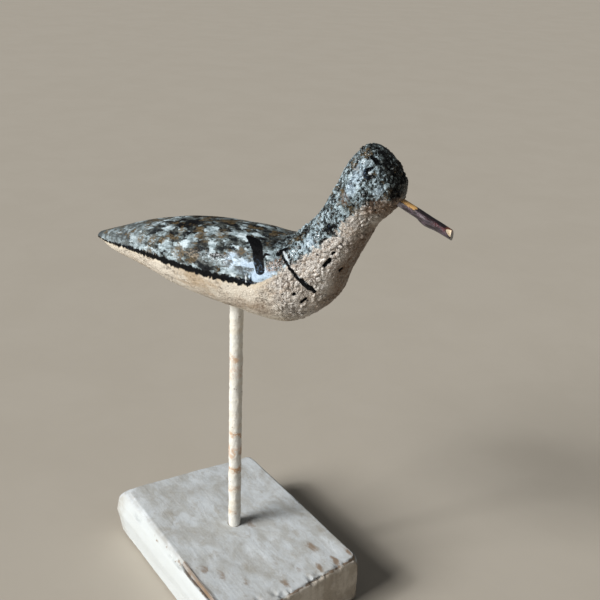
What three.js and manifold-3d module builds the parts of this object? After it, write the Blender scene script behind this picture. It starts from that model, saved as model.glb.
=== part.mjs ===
// A shorebird decoy: a carved and painted bird with a twig for a bill, on a rod in a worn block of wood.
// Millimetres, +Z up, +X the way the bird faces. The origin is the middle of the block's underside.
import * as THREE from 'three';
import { mergeVertices } from 'three/addons/utils/BufferGeometryUtils.js';
import Module from 'manifold-3d';

const wasm = await Module();
wasm.setup();

// The gap that fitted pieces keep to each other
const fitGap = 0.3;

// The block that the rod stands in. It is rough and not quite square, so each level gives the
// place of its four corners: far right, near right, near left and far left of the bird, with x
// along the long side, which is turned from the bird's facing direction.
const block = {
  height: 29,
  turn: THREE.MathUtils.degToRad(-28.5),
  cornerRadii: [5, 3.5, 3.5, 4],
  cornerSteps: 5,
  levels: [
    { z: 0, corners: [[-61, -42.5], [65, -41], [56, 41], [-53, 39]] },
    { z: 2, corners: [[-63, -44.5], [66.5, -42.5], [57.5, 42], [-54, 40]] },
    { z: 17, corners: [[-64.5, -47], [67, -43], [57.5, 42], [-54.5, 40.5]] },
    { z: 24, corners: [[-64, -46], [66.5, -42.5], [57, 41.5], [-54.5, 40]] },
    { z: 27.6, corners: [[-61.5, -43], [66, -41.5], [56.5, 41], [-54, 39.5]] },
    { z: 29, corners: [[-58.5, -40], [64.5, -40.2], [55, 39.6], [-52.8, 38.4]] },
  ],
};

// The rod, a quarter-inch dowel under thick paint, and where it stands on the block
const rod = {
  diameter: 6.9,
  x: -2,
  y: -1,
  inBase: 16,
  belly: 135,
  inBird: 14,
  sides: 24,
};
const rodTop = rod.belly + rod.inBird;

// The carving is ruled from sections, each one between a point of the ridge and a point of the
// keel, from the tail to the bill. x runs forward from the rod, z up from the top of the block.
const sections = {
  tailTip: { ridge: [-83.5, 154], keel: [-83.5, 151.5], halfWidth: 3 },
  tail: { ridge: [-70, 159.5], keel: [-69, 147.5], halfWidth: 10 },
  rump: { ridge: [-48, 167.5], keel: [-47, 144], halfWidth: 16.5 },
  back: { ridge: [-20, 173.5], keel: [-19, 138], halfWidth: 22.5 },
  wings: { ridge: [8, 175.5], keel: [8, 135], halfWidth: 24 },
  shoulders: { ridge: [29, 176], keel: [35.5, 135], halfWidth: 22 },
  neckRoot: { ridge: [37, 182.5], keel: [52.5, 148], halfWidth: 17.5 },
  neck: { ridge: [45, 192], keel: [60, 165.5], halfWidth: 14 },
  nape: { ridge: [51.5, 204.5], keel: [67, 180], halfWidth: 13 },
  hindCrown: { ridge: [57.5, 217], keel: [71.5, 189.5], halfWidth: 13.5 },
  crown: { ridge: [65, 224], keel: [77.5, 195.5], halfWidth: 13 },
  forehead: { ridge: [75.5, 219], keel: [80, 199], halfWidth: 9.5 },
  face: { ridge: [81.5, 211], keel: [82, 201.5], halfWidth: 5 },
  billRoot: { ridge: [82.5, 205], keel: [82.5, 205], halfWidth: 0 },
};

const carving = {
  steps: 84,
  around: 28,
  // 2 is an ellipse, more is boxier
  fullness: 2.15,
};

// The bill, a twig that droops out of the face. Each ring of it has its distance from the root, its
// radius and how far it sags below the axis, which makes the knot under its middle.
const bill = {
  rootX: 80.5,
  rootZ: 200.8,
  droop: THREE.MathUtils.degToRad(22.5),
  around: 16,
  rings: [
    { at: -9, radius: 2.15, sag: 0 },
    { at: 0, radius: 2.15, sag: 0 },
    { at: 10, radius: 2.15, sag: 0 },
    { at: 12, radius: 2.45, sag: 0.35 },
    { at: 14, radius: 2.65, sag: 0.55 },
    { at: 17, radius: 2.45, sag: 0.35 },
    { at: 22, radius: 2.2, sag: 0 },
    { at: 28, radius: 2, sag: 0 },
  ],
  // The tip is cut on a slant that faces up and to the bird's right
  cutBack: { up: 0.6, right: 0.5 },
};

function solidFrom(geometry) {
  const bare = geometry.clone();
  bare.deleteAttribute('normal');
  bare.deleteAttribute('uv');
  const shared = mergeVertices(bare, 1e-4);
  return new wasm.Manifold(new wasm.Mesh({
    numProp: 3,
    vertProperties: new Float32Array(shared.attributes.position.array),
    triVerts: new Uint32Array(shared.index.array),
  }));
}

function geometryFrom(solid) {
  const mesh = solid.getMesh();
  const geometry = new THREE.BufferGeometry();
  geometry.setAttribute('position', new THREE.BufferAttribute(mesh.vertProperties, 3));
  geometry.setIndex(new THREE.BufferAttribute(mesh.triVerts, 1));
  geometry.computeVertexNormals();
  return geometry;
}

// Joins rings of points into a closed skin, each end closed by a fan round a point of its own
function skinOver(rings, firstPoint, lastPoint) {
  const around = rings[0].length;
  const faces = [];
  const first = rings.length * around;
  const last = first + 1;
  for (let ring = 0; ring < rings.length; ring += 1) {
    for (let step = 0; step < around; step += 1) {
      const a = ring * around + step;
      const b = ring * around + (step + 1) % around;
      if (ring === 0) {
        faces.push(b, a, first);
      }
      if (ring === rings.length - 1) {
        faces.push(a, b, last);
      } else {
        faces.push(a, b, b + around, a, b + around, a + around);
      }
    }
  }
  const geometry = new THREE.BufferGeometry().setFromPoints([...rings.flat(), firstPoint, lastPoint]);
  geometry.setIndex(faces);
  return geometry;
}

function middleOf(ring) {
  const sum = new THREE.Vector3();
  ring.forEach((point) => sum.add(point));
  return sum.divideScalar(ring.length);
}

function cylinderAlongZ(radius, bottom, top, sides) {
  const geometry = new THREE.CylinderGeometry(radius, radius, top - bottom, sides);
  geometry.rotateX(Math.PI / 2);
  geometry.translate(0, 0, (bottom + top) / 2);
  return geometry;
}

// A curve through one point of every section
function guide(pointOf) {
  return new THREE.CatmullRomCurve3(Object.values(sections).map(pointOf), false, 'centripetal');
}

// The widest point of a section, half way from the keel to the ridge
function midway({ ridge, keel, halfWidth }) {
  return new THREE.Vector3((ridge[0] + keel[0]) / 2, halfWidth, (ridge[1] + keel[1]) / 2);
}

// Steps that are closer together at both ends of the carving
function alongCarving(step) {
  const even = step / carving.steps;
  const eased = (1 - Math.cos(Math.PI * even)) / 2;
  return (even + eased) / 2;
}

function makeCarving() {
  const ridge = guide(({ ridge: [x, z] }) => new THREE.Vector3(x, 0, z));
  const keel = guide(({ keel: [x, z] }) => new THREE.Vector3(x, 0, z));
  const flank = guide(midway);
  const rings = [];
  for (let step = 0; step < carving.steps; step += 1) {
    const along = alongCarving(step);
    const top = ridge.getPoint(along);
    const side = flank.getPoint(along);
    const bottom = keel.getPoint(along);
    const ring = [];
    for (let turn = 0; turn < carving.around; turn += 1) {
      const angle = (turn / carving.around) * 2 * Math.PI;
      const out = Math.sign(Math.cos(angle)) * Math.abs(Math.cos(angle)) ** (2 / carving.fullness);
      const rise = Math.abs(Math.sin(angle)) ** (2 / carving.fullness);
      const end = Math.sin(angle) > 0 ? top : bottom;
      ring.push(new THREE.Vector3(
        THREE.MathUtils.lerp(side.x, end.x, rise),
        side.y * out,
        THREE.MathUtils.lerp(side.z, end.z, rise),
      ));
    }
    rings.push(ring);
  }
  const tailPoint = midway(sections.tailTip).setY(0);
  const facePoint = midway(sections.billRoot).setY(0);
  const rodHole = cylinderAlongZ(rod.diameter / 2 + fitGap, 0, rodTop + fitGap, rod.sides);
  const inHead = bill.rings[0];
  const billTip = bill.rings.at(-1);
  const billHole = cylinderAlongZ(inHead.radius + fitGap, inHead.at - fitGap, billTip.at, rod.sides);
  placeOnBill(billHole);
  const body = solidFrom(skinOver(rings, tailPoint, facePoint));
  return geometryFrom(body.subtract(solidFrom(rodHole)).subtract(solidFrom(billHole)));
}

// Turns a shape that stands on +Z to lie along the bill, with its zero at the root
function placeOnBill(geometry) {
  geometry.rotateY(Math.PI / 2 + bill.droop);
  geometry.translate(bill.rootX, 0, bill.rootZ);
  return geometry;
}

// Built standing on its root. +X becomes its underside when it is laid along the bill.
function makeBill() {
  const rings = bill.rings.map(({ at, radius, sag }, index) => {
    const cut = index === bill.rings.length - 1 ? 1 : 0;
    const ring = [];
    for (let turn = 0; turn < bill.around; turn += 1) {
      const angle = (turn / bill.around) * 2 * Math.PI;
      const down = radius * Math.cos(angle);
      const left = radius * Math.sin(angle);
      const back = cut * (bill.cutBack.up * (down - radius) + bill.cutBack.right * (left - radius));
      ring.push(new THREE.Vector3(sag + down, left, at + back));
    }
    return ring;
  });
  return placeOnBill(skinOver(rings, middleOf(rings[0]), middleOf(rings.at(-1))));
}

function makeRod() {
  return cylinderAlongZ(rod.diameter / 2, -rod.inBase, rodTop, rod.sides);
}

// The four corners of one level, each rounded with its own radius
function blockRing({ z, corners }) {
  const spots = corners.map(([x, y]) => new THREE.Vector2(x, y));
  const ring = [];
  spots.forEach((corner, index) => {
    const before = spots.at(index - 1).clone().sub(corner).normalize();
    const after = spots[(index + 1) % spots.length].clone().sub(corner).normalize();
    const halfAngle = Math.acos(before.dot(after)) / 2;
    const radius = block.cornerRadii[index];
    const bisector = before.clone().add(after).normalize();
    const middle = corner.clone().addScaledVector(bisector, radius / Math.sin(halfAngle));
    const start = Math.atan2(before.x, -before.y);
    const sweep = Math.PI - 2 * halfAngle;
    for (let step = 0; step <= block.cornerSteps; step += 1) {
      const angle = start + (step / block.cornerSteps) * sweep;
      ring.push(new THREE.Vector3(
        middle.x + radius * Math.cos(angle),
        middle.y + radius * Math.sin(angle),
        z,
      ));
    }
  });
  return ring;
}

function makeBase() {
  const rings = block.levels.map(blockRing);
  const top = new THREE.Vector3(0, 0, block.height);
  const blank = skinOver(rings, new THREE.Vector3(), top);
  blank.rotateZ(block.turn);
  const holeBottom = block.height - rod.inBase - fitGap;
  const hole = cylinderAlongZ(rod.diameter / 2 + fitGap, holeBottom, block.height + 1, rod.sides);
  hole.translate(rod.x, rod.y, 0);
  return geometryFrom(solidFrom(blank).subtract(solidFrom(hole)));
}

function addPiece(parent, name, geometry, material) {
  const mesh = new THREE.Mesh(geometry, new THREE.MeshStandardMaterial(material));
  mesh.name = name;
  parent.add(mesh);
}

const decoy = new THREE.Group();
addPiece(decoy, 'stand_base', makeBase(), { color: 0xb9bab4, roughness: 0.85, metalness: 0 });

// The bird and its rod are measured from the rod's foot on top of the block
const onRod = new THREE.Group();
onRod.position.set(rod.x, rod.y, block.height);
addPiece(onRod, 'stand_rod', makeRod(), { color: 0xe4ddcf, roughness: 0.5, metalness: 0 });
addPiece(onRod, 'bird_carving', makeCarving(), { color: 0x9a958c, roughness: 0.45, metalness: 0 });
addPiece(onRod, 'bill_twig', makeBill(), { color: 0x4a3432, roughness: 0.5, metalness: 0 });
decoy.add(onRod);

export default decoy;
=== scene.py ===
import math
import bmesh
import bpy
import numpy as np
from mathutils import Matrix, Vector


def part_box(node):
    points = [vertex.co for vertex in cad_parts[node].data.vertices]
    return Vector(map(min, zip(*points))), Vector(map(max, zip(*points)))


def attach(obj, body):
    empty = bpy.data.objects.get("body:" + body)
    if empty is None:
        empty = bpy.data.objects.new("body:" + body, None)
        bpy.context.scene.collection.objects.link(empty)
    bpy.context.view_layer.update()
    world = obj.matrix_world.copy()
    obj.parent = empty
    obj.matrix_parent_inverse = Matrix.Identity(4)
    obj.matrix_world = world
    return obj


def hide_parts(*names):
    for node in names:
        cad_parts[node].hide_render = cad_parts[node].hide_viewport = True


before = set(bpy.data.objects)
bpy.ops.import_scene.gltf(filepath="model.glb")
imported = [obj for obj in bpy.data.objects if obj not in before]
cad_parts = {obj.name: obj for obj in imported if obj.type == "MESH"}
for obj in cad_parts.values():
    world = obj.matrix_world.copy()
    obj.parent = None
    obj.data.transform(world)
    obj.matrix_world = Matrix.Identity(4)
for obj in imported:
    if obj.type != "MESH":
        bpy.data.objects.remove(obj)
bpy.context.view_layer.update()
print("frame loaded:", ", ".join(sorted(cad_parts)))

mm = 0.001
rodFoot = np.array([-2.0, -1.0, 29.0])  # where the rod meets the top of the block; the bird is measured from it


# camera

cameraLook = {"place": (208.2, -345.1, 348.0), "heading": 27, "tilt": 24.4, "roll": 2.4, "lens": 54, "sensor": 36}


def makeCamera(look):
    data = bpy.data.cameras.new("camera")
    data.lens = look["lens"]
    data.sensor_width = look["sensor"]
    camera = bpy.data.objects.new("camera", data)
    turn = Matrix.Rotation(math.radians(look["heading"]), 4, "Z")
    turn = turn @ Matrix.Rotation(math.radians(90 - look["tilt"]), 4, "X")
    turn = turn @ Matrix.Rotation(math.radians(look["roll"]), 4, "Z")
    camera.matrix_world = Matrix.Translation(Vector(look["place"]) * mm) @ turn
    bpy.context.scene.collection.objects.link(camera)
    bpy.context.scene.camera = camera


makeCamera(cameraLook)
print("camera placed")


# small tools for shapes, all in millimetres

def dice(cells, seed):  # a repeatable number from 0 to 1 for each whole-numbered cell
    x, y, z = (cells[..., axis].astype(np.int64).astype(np.uint32) for axis in range(3))
    mix = x * np.uint32(73856093) ^ y * np.uint32(19349663) ^ z * np.uint32(83492791) ^ np.uint32(seed * 7919)
    mix = (mix ^ (mix >> np.uint32(15))) * np.uint32(739982445)
    mix = (mix ^ (mix >> np.uint32(12))) * np.uint32(695872825)
    return (mix ^ (mix >> np.uint32(15))) / 4294967296.0


def softNoise(points, size, seed):  # smooth lumps from 0 to 1, as wide as size
    spot = points / np.asarray(size, float)
    base = np.floor(spot)
    part = spot - base
    part = part * part * (3 - 2 * part)
    total = np.zeros(len(points))
    for corner in np.ndindex(2, 2, 2):
        total += np.prod(np.where(corner, part, 1 - part), axis=-1) * dice(base + corner, seed)
    return total


def layeredNoise(points, size, seed, layers=3):
    shares = [0.5 ** layer for layer in range(layers)]
    total = sum(share * softNoise(points, np.asarray(size) * share, seed + 10 * layer)
                for layer, share in enumerate(shares))
    return total / sum(shares)


def pebbles(points, size, seed):  # how far each point is from the seam of its pebble, and a number for each pebble
    spot = points / size
    base = np.floor(spot)
    nearest = np.full(len(points), 9.0)
    second = nearest.copy()
    own = np.zeros(len(points))
    for step in np.ndindex(3, 3, 3):
        cell = base + np.array(step) - 1
        heart = cell + 0.1 + 0.8 * np.stack([dice(cell, seed + axis) for axis in range(3)], axis=-1)
        away = np.linalg.norm(spot - heart, axis=-1)
        closer = away < nearest
        second = np.where(closer, nearest, np.minimum(second, away))
        own = np.where(closer, dice(cell, seed + 3), own)
        nearest = np.where(closer, away, nearest)
    return second - nearest, own


def ease(value, low, high):  # 0 below low, 1 above high, smooth between
    share = np.clip((value - low) / (high - low), 0, 1)
    return share * share * (3 - 2 * share)


def nearLine(points, line):  # distance from a line of places, and how many of its places come before the nearest spot
    line = np.array(line, float)
    best = np.full(len(points), 1e9)
    along = np.zeros(len(points))
    for index, (start, stop) in enumerate(zip(line[:-1], line[1:])):
        span = stop - start
        share = np.clip((points - start) @ span / (span @ span), 0, 1)
        away = np.linalg.norm(points - start - share[:, None] * span, axis=1)
        closer = away < best
        best = np.where(closer, away, best)
        along = np.where(closer, index + share, along)
    return best, along


def throughPlaces(places, steps):  # a smooth curve through the places, as the part's source draws it
    places = np.array(places, float)
    last = len(places) - 1
    curve = []
    for step in steps:
        index = min(int(step * last), last - 1)
        share = step * last - index
        near, far = places[index], places[index + 1]
        before = places[index - 1] if index > 0 else 2 * near - far
        after = places[index + 2] if index + 2 <= last else 2 * far - near
        gaps = [np.linalg.norm(b - a) ** 0.5 for a, b in ((before, near), (near, far), (far, after))]
        gaps[1] = gaps[1] if gaps[1] > 0.01 else 1.0
        gaps = [gap if gap > 0.01 else gaps[1] for gap in gaps]
        leave = ((near - before) / gaps[0] - (far - before) / (gaps[0] + gaps[1]) + (far - near) / gaps[1]) * gaps[1]
        enter = ((far - near) / gaps[1] - (after - near) / (gaps[1] + gaps[2]) + (after - far) / gaps[2]) * gaps[1]
        curve.append(near + leave * share + (-3 * near + 3 * far - 2 * leave - enter) * share ** 2
                     + (2 * near - 2 * far + leave + enter) * share ** 3)
    return np.array(curve)


def meshPiece(name, points, faces, materials=()):
    mesh = bpy.data.meshes.new(name)
    mesh.from_pydata((np.asarray(points) * mm).tolist(), [], faces)
    mesh.validate()
    piece = bpy.data.objects.new(name, mesh)
    bpy.context.scene.collection.objects.link(piece)
    for material in materials:
        mesh.materials.append(material)
    return piece


def skinFaces(rings, around):  # quads round the rings, and a fan at each end; the two end points come last
    faces = []
    first, last = rings * around, rings * around + 1
    for ring in range(rings):
        for step in range(around):
            a, b = ring * around + step, ring * around + (step + 1) % around
            if ring == 0:
                faces.append((b, a, first))
            if ring == rings - 1:
                faces.append((a, b, last))
            else:
                faces.append((a, b, b + around, a + around))
    return faces


def readPoints(piece):
    flat = np.empty(len(piece.data.vertices) * 3)
    piece.data.vertices.foreach_get("co", flat)
    return flat.reshape(-1, 3) / mm


def readNormals(piece):
    flat = np.empty(len(piece.data.vertices) * 3)
    piece.data.vertex_normals.foreach_get("vector", flat)
    return flat.reshape(-1, 3)


def writePoints(piece, points):
    piece.data.vertices.foreach_set("co", (points * mm).ravel())
    piece.data.update()


def writeField(piece, name, values):
    piece.data.attributes.new(name, "FLOAT", "POINT")
    piece.data.attributes[name].data.foreach_set("value", np.asarray(values, np.float32))


def settled(piece, name=None):  # the piece with its modifiers worked in
    bpy.context.view_layer.update()
    graph = bpy.context.evaluated_depsgraph_get()
    mesh = bpy.data.meshes.new_from_object(piece.evaluated_get(graph), depsgraph=graph)
    made = bpy.data.objects.new(name or piece.name, mesh)
    bpy.context.scene.collection.objects.link(made)
    title = made.name if name else piece.name
    bpy.data.objects.remove(piece)
    made.name = title
    return made


def drillBit(radius, start, stop, sides=48):
    start, stop = Vector(start), Vector(stop)
    way = stop - start
    shape = bmesh.new()
    place = Matrix.Translation((start + stop) / 2) @ way.to_track_quat("Z", "Y").to_matrix().to_4x4()
    bmesh.ops.create_cone(shape, cap_ends=True, segments=sides, radius1=radius, radius2=radius,
                          depth=way.length, matrix=place)
    bmesh.ops.scale(shape, vec=(mm, mm, mm), verts=shape.verts)
    bmesh.ops.recalc_face_normals(shape, faces=shape.faces)
    mesh = bpy.data.meshes.new("drillBit")
    shape.to_mesh(mesh)
    shape.free()
    bit = bpy.data.objects.new("drillBit", mesh)
    bpy.context.scene.collection.objects.link(bit)
    return bit


def bored(piece, bits, wood):  # bores the holes and gives their walls the bare wood
    for bit in bits:
        bit.data.materials.append(wood)
        cut = piece.modifiers.new("bore", "BOOLEAN")
        cut.operation = "DIFFERENCE"
        cut.solver = "MANIFOLD"
        cut.material_mode = "TRANSFER"
        cut.object = bit
        piece = settled(piece)
        bpy.data.objects.remove(bit)
    return piece


def finishPiece(piece, node, sharpness=50):
    for polygon in piece.data.polygons:
        polygon.use_smooth = True
    piece.data.set_sharp_from_angle(angle=math.radians(sharpness))
    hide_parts(node)
    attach(piece, "root")
    triangles = sum(len(polygon.vertices) - 2 for polygon in piece.data.polygons)
    print("piece made:", piece.name, triangles, "triangles")


# small tools for materials

def tone(red, green, blue):  # a colour as a picture editor gives it, from 0 to 255
    def plain(value):
        value /= 255
        return value / 12.92 if value <= 0.04045 else ((value + 0.055) / 1.055) ** 2.4
    return (plain(red), plain(green), plain(blue), 1)


def addNode(tree, kind, inputs=None, **settings):
    made = tree.nodes.new(kind)
    for name, value in settings.items():
        setattr(made, name, value)
    for name, value in (inputs or {}).items():
        if isinstance(value, bpy.types.NodeSocket):
            tree.links.new(value, made.inputs[name])
        else:
            made.inputs[name].default_value = value
    return made


def calc(tree, how, *values):
    return addNode(tree, "ShaderNodeMath", dict(enumerate(values)), operation=how).outputs[0]


def between(tree, value, low, high, start=0.0, stop=1.0):
    inputs = {"Value": value, "From Min": low, "From Max": high, "To Min": start, "To Max": stop}
    return addNode(tree, "ShaderNodeMapRange", inputs, interpolation_type="SMOOTHSTEP").outputs[0]


def blend(tree, share, under, over, how="MIX"):
    inputs = {0: share, 6: under, 7: over}
    return addNode(tree, "ShaderNodeMix", inputs, data_type="RGBA", blend_type=how).outputs[2]


def field(tree, name):
    return addNode(tree, "ShaderNodeAttribute", attribute_name=name).outputs["Fac"]


def objectPlace(tree, turn=0.0, stretch=(1, 1, 1), shift=(0, 0, 0)):  # shift in mm moves a pattern to another part of it
    place = addNode(tree, "ShaderNodeTexCoord").outputs["Object"]
    turned = addNode(tree, "ShaderNodeMapping", {"Vector": place, "Rotation": (0, 0, math.radians(turn)),
                                                 "Location": tuple(part * mm for part in shift)})
    return addNode(tree, "ShaderNodeMapping", {"Vector": turned.outputs[0], "Scale": stretch}).outputs[0]


def newGroup(name, inputs, outputs):
    tree = bpy.data.node_groups.new(name, "ShaderNodeTree")
    for title, kind, value in inputs:
        socket = tree.interface.new_socket(name=title, in_out="INPUT", socket_type="NodeSocket" + kind)
        if value is not None:
            socket.default_value = value
    for title, kind in outputs:
        tree.interface.new_socket(name=title, in_out="OUTPUT", socket_type="NodeSocket" + kind)
    return tree, tree.nodes.new("NodeGroupInput").outputs, tree.nodes.new("NodeGroupOutput").inputs


def useGroup(tree, group, **inputs):
    made = addNode(tree, "ShaderNodeGroup", node_tree=group)
    for name, value in inputs.items():
        socket = made.inputs[name[0].upper() + name[1:]]
        if isinstance(value, bpy.types.NodeSocket):
            tree.links.new(value, socket)
        else:
            socket.default_value = value
    return made.outputs


def newMaterial(name, **values):  # values are the shader's own, the same all over
    material = bpy.data.materials.new(name)
    material.use_nodes = True
    tree = material.node_tree
    tree.nodes.clear()
    shader = addNode(tree, "ShaderNodeBsdfPrincipled")
    for title, value in values.items():
        shader.inputs[title.replace("_", " ")].default_value = value
    addNode(tree, "ShaderNodeOutputMaterial", {"Surface": shader.outputs[0]})
    return material, tree, shader


def dress(tree, shader, colour, roughness, height, depth, strength=1.0):  # depth is the relief's, in mm
    tree.links.new(colour, shader.inputs["Base Color"])
    tree.links.new(roughness, shader.inputs["Roughness"])
    relief = addNode(tree, "ShaderNodeBump", {"Height": height, "Distance": depth * mm, "Strength": strength})
    tree.links.new(relief.outputs[0], shader.inputs["Normal"])


# effects that several finishes share

def makeBlotches():  # clouds of paint or dirt
    tree, given, out = newGroup("blotches", [
        ("Vector", "Vector", None), ("Scale", "Float", 100.0), ("Detail", "Float", 4.0),
        ("Roughness", "Float", 0.6), ("Bend", "Float", 0.3), ("Low", "Float", 0.45), ("High", "Float", 0.6),
    ], [("Mask", "Float"), ("Plain", "Float")])
    noise = addNode(tree, "ShaderNodeTexNoise", {
        "Vector": given["Vector"], "Scale": given["Scale"], "Detail": given["Detail"],
        "Roughness": given["Roughness"], "Distortion": given["Bend"],
    })
    tree.links.new(noise.outputs["Fac"], out["Plain"])
    tree.links.new(between(tree, noise.outputs["Fac"], given["Low"], given["High"]), out["Mask"])
    return tree


def makeSpecks():  # scattered dots of different sizes, Share is how many of the cells have one
    tree, given, out = newGroup("specks", [
        ("Vector", "Vector", None), ("Scale", "Float", 800.0), ("Size", "Float", 0.5),
        ("Share", "Float", 0.5), ("Softness", "Float", 0.15),
    ], [("Mask", "Float")])
    bend = addNode(tree, "ShaderNodeTexNoise", {"Vector": given["Vector"], "Scale": given["Scale"], "Detail": 2.0})
    shift = addNode(tree, "ShaderNodeVectorMath", {0: bend.outputs["Color"], 1: (0.5, 0.5, 0.5)}, operation="SUBTRACT")
    far = calc(tree, "DIVIDE", 0.9, given["Scale"])
    shift = addNode(tree, "ShaderNodeVectorMath", {0: shift.outputs[0], "Scale": far}, operation="SCALE")
    bent = addNode(tree, "ShaderNodeVectorMath", {0: given["Vector"], 1: shift.outputs[0]}, operation="ADD")
    cells = addNode(tree, "ShaderNodeTexVoronoi", {"Vector": bent.outputs[0], "Scale": given["Scale"]})
    own = addNode(tree, "ShaderNodeSeparateColor", {"Color": cells.outputs["Color"]}).outputs[0]
    spare = calc(tree, "SUBTRACT", given["Share"], own)
    radius = calc(tree, "MULTIPLY", calc(tree, "MINIMUM", calc(tree, "MULTIPLY", spare, 3.0), 1.0), given["Size"])
    inside = calc(tree, "SUBTRACT", radius, cells.outputs["Distance"])
    tree.links.new(between(tree, inside, 0.0, given["Softness"]), out["Mask"])
    return tree


def makeWoodGrain():  # fibres that run along X of the vector, and the broad figure
    tree, given, out = newGroup("woodGrain", [
        ("Vector", "Vector", None), ("Fineness", "Float", 1.0),
    ], [("Fibre", "Float"), ("Figure", "Float")])
    fine = addNode(tree, "ShaderNodeMapping", {"Vector": given["Vector"], "Scale": (30, 900, 900)})
    broad = addNode(tree, "ShaderNodeMapping", {"Vector": given["Vector"], "Scale": (12, 150, 150)})
    fibre = addNode(tree, "ShaderNodeTexNoise", {"Vector": fine.outputs[0], "Scale": given["Fineness"],
                                                 "Detail": 4.0, "Roughness": 0.6, "Distortion": 0.4})
    figure = addNode(tree, "ShaderNodeTexNoise", {"Vector": broad.outputs[0], "Scale": given["Fineness"],
                                                  "Detail": 5.0, "Roughness": 0.6, "Distortion": 0.8})
    tree.links.new(fibre.outputs["Fac"], out["Fibre"])
    tree.links.new(figure.outputs["Fac"], out["Figure"])
    return tree


def makeGrit():  # small uneven grains of thick paint: their height, the seams between them, and a number for each
    tree, given, out = newGroup("grit", [
        ("Vector", "Vector", None), ("Scale", "Float", 900.0), ("Bend", "Float", 0.8),
    ], [("Lump", "Float"), ("Seam", "Float"), ("Own", "Float")])
    bend = addNode(tree, "ShaderNodeTexNoise", {"Vector": given["Vector"], "Scale": given["Scale"], "Detail": 5.0,
                                                "Roughness": 0.7})
    shift = addNode(tree, "ShaderNodeVectorMath", {0: bend.outputs["Color"], 1: (0.5, 0.5, 0.5)}, operation="SUBTRACT")
    far = calc(tree, "DIVIDE", given["Bend"], given["Scale"])
    shift = addNode(tree, "ShaderNodeVectorMath", {0: shift.outputs[0], "Scale": far}, operation="SCALE")
    bent = addNode(tree, "ShaderNodeVectorMath", {0: given["Vector"], 1: shift.outputs[0]}, operation="ADD").outputs[0]
    near = addNode(tree, "ShaderNodeTexVoronoi", {"Vector": bent, "Scale": given["Scale"]})
    next = addNode(tree, "ShaderNodeTexVoronoi", {"Vector": bent, "Scale": given["Scale"]}, feature="F2")
    gap = calc(tree, "SUBTRACT", next.outputs["Distance"], near.outputs["Distance"])
    tree.links.new(between(tree, gap, 0.0, 0.55), out["Lump"])
    tree.links.new(between(tree, gap, 0.02, 0.2, 1.0, 0.0), out["Seam"])
    own = addNode(tree, "ShaderNodeSeparateColor", {"Color": near.outputs["Color"]}).outputs[0]
    tree.links.new(own, out["Own"])
    return tree


blotches, specks, woodGrain, grit = makeBlotches(), makeSpecks(), makeWoodGrain(), makeGrit()
print("shared effects built")


# bare wood, in the bored holes and where paint is gone

bareWoodLook = {"light": tone(176, 146, 108), "dark": tone(112, 84, 58)}


def makeBareWood(look):
    material, tree, shader = newMaterial("bareWood")
    place = objectPlace(tree)
    grain = useGroup(tree, woodGrain, vector=place)
    colour = blend(tree, between(tree, grain["Figure"], 0.35, 0.65), look["dark"], look["light"])
    colour = blend(tree, between(tree, grain["Fibre"], 0.4, 0.7, 0, 0.5), colour, look["dark"])
    roughness = between(tree, grain["Fibre"], 0.3, 0.7, 0.65, 0.85)
    dress(tree, shader, colour, roughness, grain["Fibre"], 0.2)
    return material


bareWood = makeBareWood(bareWoodLook)


# the bird

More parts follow.
